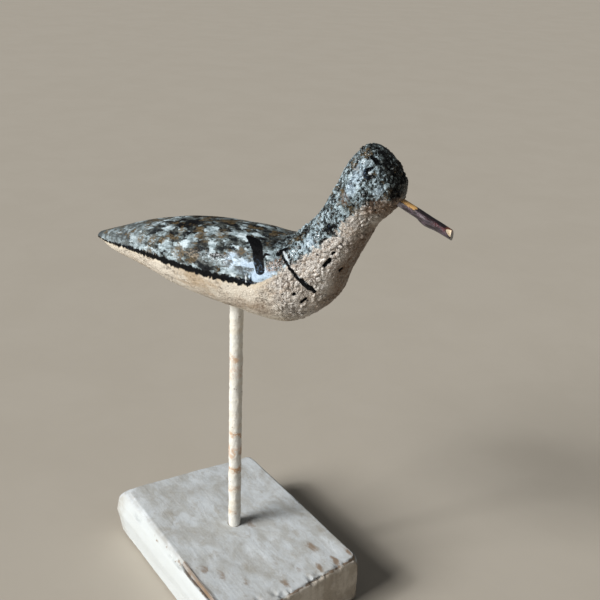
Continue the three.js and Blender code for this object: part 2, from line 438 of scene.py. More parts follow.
bird = {
    "sections": [  # from the tail to the face: ridge (x, z), keel (x, z), half width
        ((-83.5, 154), (-83.5, 151.5), 3),
        ((-70, 159.5), (-69, 147.5), 10),
        ((-48, 167.5), (-47, 144), 16.5),
        ((-20, 173.5), (-19, 138), 22.5),
        ((8, 175.5), (8, 135), 24),
        ((29, 176), (35.5, 135), 22),
        ((37, 182.5), (52.5, 148), 17.5),
        ((45, 192), (60, 165.5), 14),
        ((51.5, 204.5), (67, 180), 13),
        ((57.5, 217), (71.5, 189.5), 13.5),
        ((65, 224), (77.5, 195.5), 13),
        ((75.5, 219), (80, 199), 9.5),
        ((81.5, 211), (82, 201.5), 5),
        ((82.5, 205), (82.5, 205), 0),
    ],
    "rings": 402, "around": 236, "fullness": 2.15, "tailRounding": 1.6,
    "rodHole": (3.75, 100, 149.3),  # radius, from, to
    "paintEdge": [  # where the dark upper paint meets the cream below, seen from the side (x, z)
        (-90, 151.8), (-78.5, 152.7), (-55.5, 155.8), (-30, 157), (0, 157), (23.5, 157.7), (27, 160), (31, 163),
        (35.5, 167), (41.5, 170.5), (46.5, 174.5), (50.5, 179), (56, 183.5), (61, 190), (64.5, 195), (70, 200),
        (75.5, 202), (80.5, 202.3), (92, 203),
    ],
    "wingLine": [(-83, 0.45), (-70, 0.8), (-58, 1.2), (-44, 1.6), (-24, 1.9), (0, 1.95), (18, 2.0), (22.5, 1.4), (25, 0)],
    "strokes": [  # black brush marks: places (x, y, z) and half widths
        ([(11.6, -9.6, 174), (14.4, -10.8, 173.4), (17.5, -12.4, 172.5)], [1.1, 2.2, 2.7]),
        ([(17.2, -12.4, 172.4), (19.4, -14.4, 171.4), (21.2, -16.9, 169.2), (23.1, -19.2, 166.6), (24.8, -20.8, 164)],
         [2.7, 2.5, 2.5, 2.5, 2.3]),
        ([(24.3, -17.2, 168.8), (24.4, -15.8, 170.1), (26.8, -15.8, 170.2)], [0.6, 0.8, 0.5]),
        ([(30.6, -14.9, 171.3), (32.1, -13.7, 173), (35, -13.2, 174.6)], [1.5, 1.3, 0.4]),
        ([(32.6, -15.6, 171.9), (33.8, -16.4, 170.6), (36.6, -17.8, 168.8), (39.1, -18.5, 166.4), (42.6, -18.4, 163.2)],
         [0.5, 0.6, 0.65, 0.75, 1.0]),
        ([(42.6, -18.4, 163.2), (45.4, -17.5, 160.9), (47.9, -16.2, 158.6), (49.9, -14.7, 156.8)], [1.1, 1.3, 1.35, 0.8]),
        ([(20.7, -21.9, 162.1), (21.4, -23, 158.2)], [0.3, 0.7]),
        ([(69.5, -7.9, 220.5), (72, -8, 219.1)], [1.1, 1.4]),
        ([(68.8, -12.4, 213), (69, -12.1, 215.2), (71.4, -10.9, 217)], [0.9, 1.2, 0.8]),
        ([(70.3, -12.6, 212.4), (71.8, -12, 213.6)], [1.0, 0.9]),
        ([(53.6, -13, 188.4), (54.9, -13, 186.4)], [0.8, 0.7]), ([(52.4, -13, 186), (56.2, -13, 188.6)], [0.5, 0.5]),
        ([(38, -9.7, 180.6), (39.6, -9.6, 179.6)], [0.9, 0.6]), ([(41, -9.2, 183.2), (42.4, -9.8, 182)], [0.7, 0.6]),
        ([(48.6, -13, 179.5), (50, -13.2, 180.4)], [0.5, 0.7]), ([(64, -13, 200.4), (65, -13.1, 199.4)], [0.6, 0.5]),
    ],
    "pits": [  # small holes, black inside
        ([(56.3, -12.8, 175.6), (56.8, -12.6, 176.2)], [0.8, 0.8]),
        ([(53.3, -13.8, 169.9), (55.3, -13.2, 172.3)], [1.1, 1.2]),
        ([(58.6, -7.9, 167), (59.2, -7.5, 167.8)], [0.9, 0.7]),
        ([(41.3, -19, 155), (41.7, -19, 155.2)], [0.85, 0.85]),
        ([(44.2, -16.7, 150.8), (45.8, -16.1, 152.7)], [0.9, 1.0]),
        ([(65.2, -13.2, 210.6), (65.5, -13.1, 210.8)], [0.5, 0.5]),
    ],
    "flecks": [  # pale paint that shows in the dark marks, and a painted highlight: the glint on the eye
        ([(32.7, -14.3, 172.6), (35.3, -16.4, 171), (37.6, -17.4, 169.5)], [0.5, 0.55, 0.4]),
        ([(42.2, -18.2, 164.3), (43.4, -18.1, 163.4)], [0.35, 0.3]), ([(45.6, -17.2, 161.6), (46.6, -16.9, 160.8)], [0.3, 0.3]),
        # the first fleck on the next line is the painted glint on the eye, inside its black ring
        ([(70.4, -12.2, 214.9), (70.9, -12, 214.4)], [0.6, 0.6]), ([(18.4, -22.4, 161.4), (19, -23.4, 157.8)], [0.45, 0.4]),
        ([(12.4, -22.8, 159.9), (12.7, -23.4, 157.9)], [0.4, 0.35]), ([(15.2, -22.8, 159.9), (15.5, -23.4, 158.1)], [0.4, 0.3]),
        ([(61.5, -10.6, 216.6), (62.3, -11, 216)], [0.4, 0.4]), ([(66, -10, 219.4), (66.6, -10, 218.9)], [0.4, 0.4]),
    ],
    "darkSpots": [  # (x, y, z), radius, strength
        ((79.9, -5.6, 211.7), 6, 1.0), ((80.9, -6.5, 205.7), 4.5, 1.0), ((77.6, -4.2, 216.1), 5, 1.0), ((75, -6.6, 217.5), 4, 0.7),
        ((82, 0, 208), 9, 1.1), ((76, 0, 220), 8, 1.0), ((70, 0, 224), 8, 0.7), ((64, 0, 224), 7, 0.5),
        ((79.4, -6.3, 200.9), 3.5, 1.0), ((54.5, -13, 187.2), 4, 1.0), ((38.6, -9.7, 180.1), 4, 0.9), ((41, -9.2, 182.9), 4, 0.7),
        ((62.5, -13.2, 198.5), 4, 0.7), ((55.3, -9, 205.6), 3, 1.4), ((72, -12, 203), 3, 0.5),
        ((-26.2, -5.4, 172.1), 7, 1.0), ((-16.9, -6.5, 173.2), 7, 1.1), ((4.6, -14, 172), 4, 0.8), ((22.7, -10.5, 173.3), 5, 1.0),
        ((-38.6, -8.8, 168.6), 5, 0.5), ((0, 0, 176), 13, 0.9), ((-25, 0, 174), 11, 0.9), ((22, 0, 176), 12, 0.9),
        ((-82, -2, 153.5), 5, 1.7), ((-70, 0, 159), 8, 0.7), ((-52, 0, 167), 9, 0.7), ((33, -8, 177), 6, 0.6),
    ],
    "warmAndShadeSpots": [  # brown and rusty places; on the front of the neck and breast and under the chin they are also painted shade, and along the keel they make the bird browner towards the bottom
        ((29.4, -19.2, 166), 3, 1.4), ((31.5, -18.5, 167.2), 3.2, 1.5), ((32.9, -17.4, 169.1), 2.6, 1.2),
        ((58.2, -12, 203.8), 2.6, 1.4), ((60.2, -13, 201.8), 2.6, 1.2), ((66, -7, 222), 3.4, 1.4), ((68, -8, 220.8), 2.4, 1.0),
        # under the chin and the throat: brown paint deepened into painted shade
        ((74.9, -10.6, 200.9), 4, 1.0), ((76.7, -8.1, 198.7), 4.5, 1.3), ((71.6, -10.9, 197.7), 4, 0.9), ((80, -3, 199), 6, 1.2),
        ((13.1, -17.4, 169.5), 2.4, 1.1), ((-46.7, -14.3, 162.4), 3.4, 1.0), ((-38.2, -16.1, 163.7), 3.2, 1.0),
        ((-19.8, -20.8, 163), 4, 0.8), ((-11.8, -20.8, 164.7), 3.6, 0.8), ((-1.6, -11, 173.2), 4.5, 0.7), ((-7.7, -16.1, 170.1), 3, 0.6),
        # down the front of the neck and breast, the side turned from the light: brown paint deepened into painted shade
        ((66, 0, 180), 13, 1.2), ((60, -2, 165), 12, 1.2), ((54, 0, 150), 13, 1.1), ((77, 0, 196), 8, 1.2),
        # on this line and the next, along the keel and the lower flanks: browner towards the bottom
        ((0, 0, 137), 16, 0.5), ((-40, -6, 145), 14, 0.3), ((14, -8, 136), 6, 0.6), ((34, 0, 136), 14, 0.7),
        ((16, -21, 145), 6, 0.5), ((26, -20.5, 145), 7, 0.7), ((8, -20, 143), 7, 0.4), ((-6, -17, 141), 9, 0.35),
    ],
    "paleAndSheenSpots": [
        ((66.6, -11.2, 217.2), 5, 0.9), ((65.7, -12.5, 213.5), 4.5, 1.2), ((63.4, -12.9, 208.9), 5, 1.2), ((62, -13.2, 204.4), 4.5, 0.9),
        ((58.3, -12.5, 199.1), 5, 0.6), ((49.8, -11.4, 189), 5, 0.6), ((46.4, -13.5, 180.7), 6, 1.0), ((43.5, -14.4, 177.1), 5, 0.9),
        ((76.1, -10.2, 210.9), 3.6, 0.6), ((75.6, -11.2, 205.5), 4.4, 0.8), ((73.3, -12.4, 208), 4, 0.5),
        # on this line and the next, the spots on the right flank behind the upright mark are pale paint with a painted
        # sheen: they build the blue-white reflection of the window there
        ((12.8, -21, 165.3), 8, 1.0), ((20, -21.6, 163.2), 6, 1.4), ((26.2, -21.5, 161.7), 6, 1.7), ((6.3, -20.9, 165.8), 6, 0.7),
        ((30.7, -20.4, 163.8), 3.5, 1.3), ((-44, -15, 161.6), 1.6, 1.3), ((-55, -12, 159), 6, 0.4),
    ],
    "otherSide": (1.6, -0.8),  # the marks on the left flank sit a little off (x, z)
}


def markDepth(points, marks):  # how far inside a mark each point is
    deepest = np.full(len(points), -9.0)
    for line, widths in marks:
        away, along = nearLine(points, line)
        deepest = np.maximum(deepest, np.interp(along, range(len(widths)), widths) - away)
    return deepest


def spotField(points, spots):
    total = np.zeros(len(points))
    for place, radius, strength in spots:
        total += strength * (1 - ease(np.linalg.norm(points - np.array(place, float), axis=1), radius * 0.3, radius * 1.2))
    return total


def edgeHeight(points, line):  # signed distance from a line drawn in side view, more than 0 on its upper side
    flat = points[:, [0, 2]]
    line = np.array(line, float)
    away, along = nearLine(flat, line)
    index = np.minimum(along.astype(int), len(line) - 2)
    start, span = line[index], line[index + 1] - line[index]
    upper = span[:, 0] * (flat[:, 1] - start[:, 1]) - span[:, 1] * (flat[:, 0] - start[:, 0]) > 0
    return np.where(upper, away, -away)


def carvedRings(plan):
    ridge = [(x, 0, z) for (x, z), keel, width in plan["sections"]]
    keel = [(x, 0, z) for top, (x, z), width in plan["sections"]]
    flank = [((a + c) / 2, width, (b + d) / 2) for (a, b), (c, d), width in plan["sections"]]
    fine = np.linspace(0, 1, 1201)
    sides = [throughPlaces(line, fine) for line in (ridge, keel)]
    steps = sum(np.linalg.norm(np.diff(side, axis=0), axis=1) for side in sides) / 2
    steps *= 1 + 0.6 * ease(sides[0][1:, 0], 8, 30)  # closer rings where the paint is rough
    walked = np.concatenate([[0], np.cumsum(steps)])
    along = np.interp(np.linspace(0, walked[-1], plan["rings"] + 2)[1:-1], walked, fine)
    top, bottom, side = (throughPlaces(line, along)[:, None] for line in (ridge, keel, flank))
    angle = np.arange(plan["around"]) / plan["around"] * 2 * math.pi
    out = (np.sign(np.cos(angle)) * np.abs(np.cos(angle)) ** (2 / plan["fullness"]))[None, :]
    rise = (np.abs(np.sin(angle)) ** (2 / plan["fullness"]))[None, :, None]
    rings = side + (np.where(np.sin(angle)[None, :, None] > 0, top, bottom) - side) * rise
    rings[:, :, 1] = side[:, :, 1] * out
    heart = rings.mean(axis=1, keepdims=True)
    fromTip = heart[:, :, :1] - ridge[0][0]
    shrink = np.sqrt(1 - (1 - np.clip(fromTip / plan["tailRounding"], 0.02, 1)) ** 2)
    rings = heart + (rings - heart) * shrink
    return rings.reshape(-1, 3), flank[0], flank[-1]


def makeBird(plan, paint):
    points, tail, face = carvedRings(plan)
    points = np.vstack([points, (tail[0], 0, tail[2]), (face[0], 0, face[2])])
    piece = meshPiece("birdCarving", points + rodFoot, skinFaces(plan["rings"], plan["around"]), [paint])
    normals = readNormals(piece)
    folded = points * (1, 0, 1) + np.abs(points[:, 1:2]) * (0, -1, 0)
    folded[:, [0, 2]] -= np.where(points[:, 1:2] > 0, 1, 0) * np.array(plan["otherSide"])
    edge = edgeHeight(folded, plan["paintEdge"])
    edge += (layeredNoise(points, 9, 3) - 0.5) * np.interp(points[:, 0], [20, 40, 60], [0.8, 5, 7])
    ink = markDepth(folded, plan["strokes"])
    pit = markDepth(folded, plan["pits"])
    fleck = markDepth(folded, plan["flecks"])
    dark, warm, pale = (spotField(folded, plan[kind]) for kind in ("darkSpots", "warmAndShadeSpots", "paleAndSheenSpots"))
    wing = np.interp(points[:, 0] - np.where(points[:, 1] > 0, 1.6, 0), *zip(*plan["wingLine"]))

    # thick rough paint on the breast, the neck and the head, brushed thin on the back
    neck = ease(points[:, 0] + 0.35 * (points[:, 2] - 160), 22, 42)
    belly = ease(-edge, 0.5, 3)
    rough = np.clip(neck + 0.35 * belly, 0, 1)
    bent = points + 1.3 * np.stack([softNoise(points, 1.9, 60 + axis) - 0.5 for axis in range(3)], axis=-1)
    bent += 3.0 * np.stack([softNoise(points, 5.5, 64 + axis) - 0.5 for axis in range(3)], axis=-1)
    seam, own = pebbles(bent, 2.6, 20)
    fineSeam, fineOwn = pebbles(bent, 1.3, 30)
    patchy = layeredNoise(points, 7, 35)  # the lumps come in patches
    pebbleTop = ease(seam, 0, 0.45) * (0.3 + 0.7 * own)
    fineTop = ease(fineSeam, 0, 0.5) * (0.5 + 0.5 * fineOwn)
    brush = layeredNoise(points, (9, 2.2, 2.2), 41)
    knife = layeredNoise(points, (30, 14, 14), 51, 2)

    height = -0.15 + (knife - 0.5) * 1.1
    height += rough * (0.75 * (pebbleTop - 0.6) * (0.2 + 1.3 * ease(patchy, 0.35, 0.65)) + 0.3 * (fineTop - 0.6))
    height += (1 - rough) * 0.4 * (brush - 0.5)
    height -= 0.7 * ease(pit, -0.3, 0.6)
    height -= 0.22 * ease(ink, -0.2, 0.5) * neck
    height -= 0.9 * (1 - ease(np.linalg.norm(folded - (56, -7, 205.5), axis=1), 1.0, 4.5))  # notch in the nape
    height *= ease(points[:, 0], -84.5, -78) * ease(83.5 - points[:, 0], 0.3, 2.5)
    height = np.minimum(height, 0.35)
    low, high = (np.array(corner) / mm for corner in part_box("bird_carving"))
    writePoints(piece, np.clip(points + rodFoot + normals * height[:, None], low, high))

    writeField(piece, "paintEdge", edge)
    writeField(piece, "wingLine", wing)
    writeField(piece, "inkDepth", np.maximum(ink, pit))
    writeField(piece, "fleckDepth", fleck)
    writeField(piece, "darkPaint", dark)
    writeField(piece, "warmPaintAndShade", warm)
    writeField(piece, "palePaintAndSheen", pale)
    writeField(piece, "roughPaint", rough)
    writeField(piece, "pebbleSeam", 1 - np.minimum(ease(seam, 0, 0.3), 0.4 + 0.6 * ease(fineSeam, 0, 0.25)))
    radius, start, stop = plan["rodHole"]
    holes = [drillBit(radius, rodFoot + (0, 0, start), rodFoot + (0, 0, stop)), billBit(bill)]
    piece = bored(piece, holes, bareWood)
    finishPiece(piece, "bird_carving")
    return piece


birdPaintLook = {
    "cream": tone(222, 211, 190), "tan": tone(176, 150, 116), "breast": tone(247, 241, 233),
    # the stain colour on the next line is brown stain on the cream, and painted shade on the front of the neck and
    # breast and under the chin
    "crevice": tone(84, 64, 50), "grain": tone(36, 28, 25), "lumpTan": tone(198, 178, 158), "stainAndShade": tone(118, 88, 62),
    "tones": [(0.28, tone(10, 11, 13)), (0.38, tone(34, 38, 40)), (0.46, tone(84, 88, 84)), (0.53, tone(122, 134, 138)),
              (0.61, tone(168, 184, 190)), (0.72, tone(214, 228, 234))],
    # the last colour on the next line is a painted reflection: the blue-white sheen of the window on the flank
    "brown": tone(58, 48, 34), "ochre": tone(116, 98, 68), "white": tone(228, 236, 240), "windowReflectionWhite": tone(190, 214, 240),
    "rust": tone(138, 108, 90), "ink": tone(5, 6, 8), "olive": tone(104, 100, 82), "dryBrush": tone(96, 122, 150),
    "tailGrey": tone(112, 120, 122),
}


def makeDabbedPaint(steps):  # dabs of one paint over others; Bias makes it darker or paler, Dabs gives each dab its own tone
    tree, given, out = newGroup("dabbedPaint", [
        ("Vector", "Vector", None), ("Scale", "Float", 300.0), ("Roughness", "Float", 0.7), ("Bias", "Float", 0.0),
        ("Dabs", "Float", 0.4), ("Contrast", "Float", 1.0),
    ], [("Color", "Color"), ("Tone", "Float")])
    dabs = useGroup(tree, grit, vector=given["Vector"], scale=given["Scale"], bend=2.2)
    broad = calc(tree, "MULTIPLY", given["Scale"], 0.55)
    noise = addNode(tree, "ShaderNodeTexNoise", {"Vector": given["Vector"], "Scale": broad, "Detail": 8.0,
                                                 "Roughness": given["Roughness"], "Distortion": 0.3})
    edges = addNode(tree, "ShaderNodeTexNoise", {"Vector": given["Vector"], "Scale": given["Scale"], "Detail": 7.0,
                                                 "Roughness": 0.8})
    tone = addNode(tree, "ShaderNodeMix", {0: given["Dabs"], 2: noise.outputs["Fac"], 3: dabs["Own"]}).outputs[0]
    tone = calc(tree, "ADD", tone, calc(tree, "MULTIPLY", calc(tree, "SUBTRACT", edges.outputs["Fac"], 0.5), 0.45))
    tone = calc(tree, "MULTIPLY", calc(tree, "SUBTRACT", tone, 0.5), given["Contrast"])
    tone = calc(tree, "ADD", tone, calc(tree, "ADD", given["Bias"], 0.5))
    ramp = addNode(tree, "ShaderNodeValToRGB", {"Fac": tone})
    stops = ramp.color_ramp.elements
    while len(stops) < len(steps):
        stops.new(0.5)
    for stop, (place, colour) in zip(stops, steps):
        stop.position = place
        stop.color = colour
    tree.links.new(ramp.outputs["Color"], out["Color"])
    tree.links.new(tone, out["Tone"])
    return tree


def makeBirdPaint(look):
    material, tree, shader = newMaterial("weatheredBirdPaint", Coat_Roughness=0.12, Specular_IOR_Level=0.1)
    dabbedPaint = makeDabbedPaint(look["tones"])
    place = objectPlace(tree)
    edge, wing, ink = (field(tree, name) for name in ("paintEdge", "wingLine", "inkDepth"))
    fleck, dark, warm, pale = (field(tree, name) for name in ("fleckDepth", "darkPaint", "warmPaintAndShade", "palePaintAndSheen"))
    rough, seam = field(tree, "roughPaint"), field(tree, "pebbleSeam")

    def noise(scale, detail, roughness=0.6, **where):
        return addNode(tree, "ShaderNodeTexNoise", {"Vector": objectPlace(tree, **where), "Scale": scale, "Detail": detail,
                                                    "Roughness": roughness}).outputs["Fac"]

    def times(value, factor):
        return calc(tree, "MULTIPLY", value, factor)

    def plus(*values):
        total = values[0]
        for value in values[1:]:
            total = calc(tree, "ADD", total, value)
        return total

    def upToOne(value):
        return calc(tree, "MINIMUM", value, 1.0)

    fine = noise(900.0, 5.0, 0.7)
    grains = useGroup(tree, grit, vector=place, scale=820.0, bend=1.1)

    # below: cream paint, tan where it is thin, brown in its seams and between its grains
    tan = useGroup(tree, blotches, vector=objectPlace(tree, stretch=(0.6, 1, 1)), scale=85.0, detail=8.0, roughness=0.7,
                   low=0.47, high=0.68)["Mask"]
    tan = times(tan, between(tree, rough, 0.3, 1.0, 0.75, 0.3))
    lower = blend(tree, rough, look["cream"], look["breast"])
    lower = blend(tree, tan, lower, look["tan"])
    lower = blend(tree, times(times(between(tree, grains["Own"], 0.55, 0.95), rough), 0.6), lower, look["lumpTan"])
    crack = noise(120.0, 6.0, 0.7, stretch=(0.5, 1, 1))
    crack = between(tree, calc(tree, "ABSOLUTE", plus(crack, -0.5)), 0.004, 0.016, 1.0, 0.0)
    crack = times(crack, between(tree, noise(60.0, 3.0, shift=(20, 0, 0)), 0.46, 0.58))
    lower = blend(tree, times(crack, between(tree, rough, 0.2, 1.0, 0.75, 0.4)), lower, look["crevice"])
    worn = useGroup(tree, blotches, vector=place, scale=260.0, detail=8.0, roughness=0.75, low=0.58, high=0.64)["Mask"]
    lower = blend(tree, times(worn, between(tree, rough, 0.2, 1.0, 0.35, 0.45)), lower, look["crevice"])
    crusty = useGroup(tree, blotches, vector=place, scale=170.0, detail=5.0, roughness=0.65, low=0.42, high=0.6)["Mask"]
    crusty = plus(times(crusty, 0.8), 0.2)
    lowerSeam = times(seam, between(tree, fine, 0.4, 0.6, 0.15, 1.0))
    lower = blend(tree, times(times(lowerSeam, crusty), between(tree, rough, 0.2, 0.9, 0.1, 0.7)), lower, look["crevice"])
    grainSeam = times(times(grains["Seam"], crusty), between(tree, fine, 0.42, 0.6, 0.0, 1.0))
    lower = blend(tree, times(grainSeam, between(tree, rough, 0.2, 0.9, 0.1, 0.9)), lower, look["crevice"])
    # brown stain on the cream, deepened into painted shade on the front of the neck and breast and under the chin
    stainedAndShaded = times(upToOne(warm), between(tree, plus(fine, times(grains["Own"], 0.3)), 0.45, 0.85, 0.95, 0.5))
    lower = blend(tree, stainedAndShaded, lower, look["stainAndShade"])
    dots = useGroup(tree, specks, vector=place, scale=520.0, size=0.42, share=0.3)["Mask"]
    lower = blend(tree, times(dots, between(tree, rough, 0.0, 1.0, 0.3, 0.9)), lower, look["grain"])

    # above: blue-grey and white dabs with black and brown between them
    # dark spots darken the dabs and pale spots lighten them; on the right flank that lightening is part of the painted
    # sheen
    bias = plus(times(dark, -0.11), times(pale, 0.09))
    back = useGroup(tree, dabbedPaint, vector=objectPlace(tree, turn=8, stretch=(0.62, 1, 1)), scale=400.0,
                    roughness=0.68, bias=plus(bias, 0.0), dabs=0.24, contrast=1.15)
    coarse = plus(noise(170.0, 6.0, 0.65, shift=(70, 0, 0), stretch=(0.7, 1, 1)), times(rough, -0.03))
    earth = blend(tree, between(tree, fine, 0.42, 0.6), look["brown"], look["ochre"])
    toTail = addNode(tree, "ShaderNodeSeparateXYZ", {0: place}).outputs[0]
    upper = blend(tree, between(tree, toTail, -0.035, -0.065, 0.0, 0.45), back["Color"], look["tailGrey"])
    upper = blend(tree, times(between(tree, coarse, 0.54, 0.58), 0.8), upper, earth)

    # neck and head: a finer grain of the same colours
    neck = useGroup(tree, dabbedPaint, vector=objectPlace(tree, stretch=(1, 1, 0.85)), scale=900.0, roughness=0.85,
                    bias=plus(bias, times(plus(seam, grains["Seam"]), -0.09), 0.1), dabs=0.26, contrast=1.75)
    olive = blend(tree, times(upToOne(dark), 0.75), look["white"], look["olive"])
    head = blend(tree, 0.8, neck["Color"], olive, how="MULTIPLY")
    head = blend(tree, times(between(tree, coarse, 0.5, 0.56), between(tree, fine, 0.4, 0.6, 0.2, 0.7)), head, earth)
    upper = blend(tree, rough, upper, head)
    rust = blend(tree, between(tree, fine, 0.4, 0.6), look["brown"], look["rust"])
    # painted reflection: a blue-white sheen of the window laid over the pale dabs of the flank, strongest where the
    # pale paint is heaviest
    paintedReflection = times(between(tree, pale, 0.6, 1.5, 0.0, 0.75), between(tree, back["Tone"], 0.45, 0.7, 0.1, 1.0))
    upper = blend(tree, times(paintedReflection, between(tree, rough, 0.2, 0.8, 1.0, 0.35)), upper, look["windowReflectionWhite"])
    brownPatch = blend(tree, between(tree, plus(edge, times(rough, -6.0)), 0.0, 6.0), rust, earth)
    upper = blend(tree, times(upToOne(warm), between(tree, fine, 0.4, 0.56, 0.25, 0.9)), upper, brownPatch)

    # where the two meet: crisp along the wing, soft on the neck
    wander = times(plus(noise(420.0, 6.0, 0.75, shift=(0, 30, 0)), -0.5), between(tree, rough, 0.2, 1.0, 1.6, 16.0))
    reach = between(tree, rough, 0.2, 1.0, 0.4, 1.0)
    meet = calc(tree, "DIVIDE", plus(edge, wander), reach)
    colour = blend(tree, between(tree, meet, -1.0, 1.0), lower, upper)

    # the black line under the wing: bristle marks of the paint above and below bite into it
    teeth = noise(620.0, 5.0, 0.75, stretch=(1, 0.25, 0.25))
    above = calc(tree, "GREATER_THAN", edge, 0.0)
    bite = times(plus(teeth, -0.54), plus(7.0, times(above, -1.5)))
    line = calc(tree, "SUBTRACT", plus(wing, bite), calc(tree, "ABSOLUTE", edge))
    line = times(between(tree, line, -0.1, 0.25), calc(tree, "GREATER_THAN", wing, 0.01))
    marks = between(tree, plus(ink, times(plus(fine, -0.5), 1.3)), -0.1, 0.2)
    ink = blend(tree, times(between(tree, fine, 0.5, 0.62), times(upToOne(pale), 0.55)), look["ink"], look["dryBrush"])
    colour = blend(tree, calc(tree, "MAXIMUM", line, marks), colour, ink)
    # pale flecks in the dark marks, and the painted glint on the eye
    fleckAndGlint = times(between(tree, plus(fleck, times(plus(fine, -0.5), 1.6)), -0.05, 0.3), 0.9)
    colour = blend(tree, fleckAndGlint, colour, look["white"])

    roughness = plus(between(tree, rough, 0.0, 1.0, 0.42, 0.42), times(fine, 0.2))
    inkless = calc(tree, "SUBTRACT", 1.0, times(calc(tree, "MAXIMUM", line, marks), 0.8))
    shine = times(between(tree, fine, 0.4, 0.65, 0.0, 1.0), between(tree, rough, 0.0, 1.0, 0.25, 0.8))
    tree.links.new(times(shine, inkless), shader.inputs["Coat Weight"])
    relief = plus(times(fine, 0.6), times(back["Tone"], 0.35), times(neck["Tone"], times(rough, 0.5)))
    relief = plus(relief, times(times(grains["Lump"], rough), 0.45), times(times(dots, rough), -0.3), times(crack, -0.2))
    dress(tree, shader, colour, roughness, relief, 0.7)
    return material


# the bill, a twig set into the face

bill = {
    "root": (80.5, 0, 200.8), "droop": 22.5,
    "rings": [(-9, 2.1, 0), (0, 2.1, 0), (6, 2.12, 0), (10, 2.15, 0), (12, 2.4, 0.3), (14, 2.55, 0.5), (16, 2.45, 0.4),
              (19, 2.25, 0.1), (23, 2.15, 0), (28.5, 2.0, 0)],  # distance from the root, radius, sag
    "rows": 190, "sides": 72, "lumpSize": 3.2, "lumpHeight": 0.16, "seed": 7,
    "endUp": 0.5, "endAt": 27.2, "cutUp": 0.7, "cutRight": 0.75, "cutSlope": 17, "cutFrom": 23.4,
    "holeRadius": 2.4,
}


def billWay(plan):
    slope = math.radians(plan["droop"])
    return np.array([math.cos(slope), 0, -math.sin(slope)]), np.array([-math.sin(slope), 0, -math.cos(slope)])


def billBit(plan):
    way, down = billWay(plan)
    root = rodFoot + plan["root"]
    return drillBit(plan["holeRadius"], root - 9.3 * way, root + 20 * way)


def buildStickTree():  # a round stick along a path, its surface a little lumpy
    tree = bpy.data.node_groups.new("stickAlongPath", "GeometryNodeTree")
    given = {}
    for title, kind, value in [("Path", "Geometry", None), ("Rows", "Int", 100), ("Sides", "Int", 32),
                               ("Lump Size", "Float", 0.004), ("Lump Height", "Float", 0.0002), ("Lengthwise", "Float", 2.0),
                               ("Seed", "Float", 1.0), ("Finish", "Material", None)]:
        socket = tree.interface.new_socket(name=title, in_out="INPUT", socket_type="NodeSocket" + kind)
        if value is not None:
            socket.default_value = value
        given[title] = socket.identifier
    tree.interface.new_socket(name="Stick", in_out="OUTPUT", socket_type="NodeSocketGeometry")
    source = tree.nodes.new("NodeGroupInput").outputs
    smooth = addNode(tree, "GeometryNodeCurveSplineType", {"Curve": source["Path"]}, spline_type="CATMULL_ROM")
    even = addNode(tree, "GeometryNodeResampleCurve", {"Curve": smooth.outputs[0], "Count": source["Rows"]})
    circle = addNode(tree, "GeometryNodeCurvePrimitiveCircle", {"Resolution": source["Sides"], "Radius": 1.0})
    thick = addNode(tree, "GeometryNodeInputRadius")
    stick = addNode(tree, "GeometryNodeCurveToMesh", {"Curve": even.outputs[0], "Profile Curve": circle.outputs[0],
                                                      "Scale": thick.outputs[0], "Fill Caps": True})
    place = addNode(tree, "GeometryNodeInputPosition")
    scale = addNode(tree, "ShaderNodeMath", {0: 1.0, 1: source["Lump Size"]}, operation="DIVIDE")
    squeeze = addNode(tree, "ShaderNodeMath", {0: 1.0, 1: source["Lengthwise"]}, operation="DIVIDE")
    stretch = addNode(tree, "ShaderNodeCombineXYZ", {"X": squeeze.outputs[0], "Y": 1.0, "Z": squeeze.outputs[0]})
    spot = addNode(tree, "ShaderNodeVectorMath", {0: place.outputs[0], 1: stretch.outputs[0]}, operation="MULTIPLY")
    lumps = addNode(tree, "ShaderNodeTexNoise", {"Vector": spot.outputs[0], "W": source["Seed"], "Scale": scale.outputs[0],
                                                 "Detail": 3.0, "Roughness": 0.55}, noise_dimensions="4D")
    centred = addNode(tree, "ShaderNodeMath", {0: lumps.outputs[0], 1: 0.62}, operation="SUBTRACT")
    lift = addNode(tree, "ShaderNodeMath", {0: centred.outputs[0], 1: source["Lump Height"]}, operation="MULTIPLY")
    normal = addNode(tree, "GeometryNodeInputNormal")
    offset = addNode(tree, "ShaderNodeVectorMath", {0: normal.outputs[0], "Scale": lift.outputs[0]}, operation="SCALE")
    moved = addNode(tree, "GeometryNodeSetPosition", {"Geometry": stick.outputs[0], "Offset": offset.outputs[0]})
    real = addNode(tree, "GeometryNodeRealizeInstances", {"Geometry": moved.outputs[0]})
    painted = addNode(tree, "GeometryNodeSetMaterial", {"Geometry": real.outputs[0], "Material": source["Finish"]})
    out = tree.nodes.new("NodeGroupOutput")
    tree.links.new(painted.outputs[0], out.inputs[0])
    return tree, given


stickTree, stickSockets = buildStickTree()


def stickAlong(name, places, radii, rows, sides, lumpSize, lumpHeight, lengthwise, seed, finish):
    path = bpy.data.curves.new(name, "CURVE")
    path.dimensions = "3D"
    spline = path.splines.new("POLY")
    spline.points.add(len(places) - 1)
    for point, place, radius in zip(spline.points, places, radii):
        point.co = (*(np.array(place) * mm), 1)
        point.radius = radius * mm
    piece = bpy.data.objects.new(name, path)
    bpy.context.scene.collection.objects.link(piece)
    nodes = piece.modifiers.new("stick", "NODES")
    nodes.node_group = stickTree
    values = {"Rows": rows, "Sides": sides, "Lump Size": lumpSize * mm, "Lump Height": lumpHeight * mm,
              "Lengthwise": lengthwise, "Seed": float(seed), "Finish": finish}
    for title, value in values.items():
        nodes[stickSockets[title]] = value
    return settled(piece)


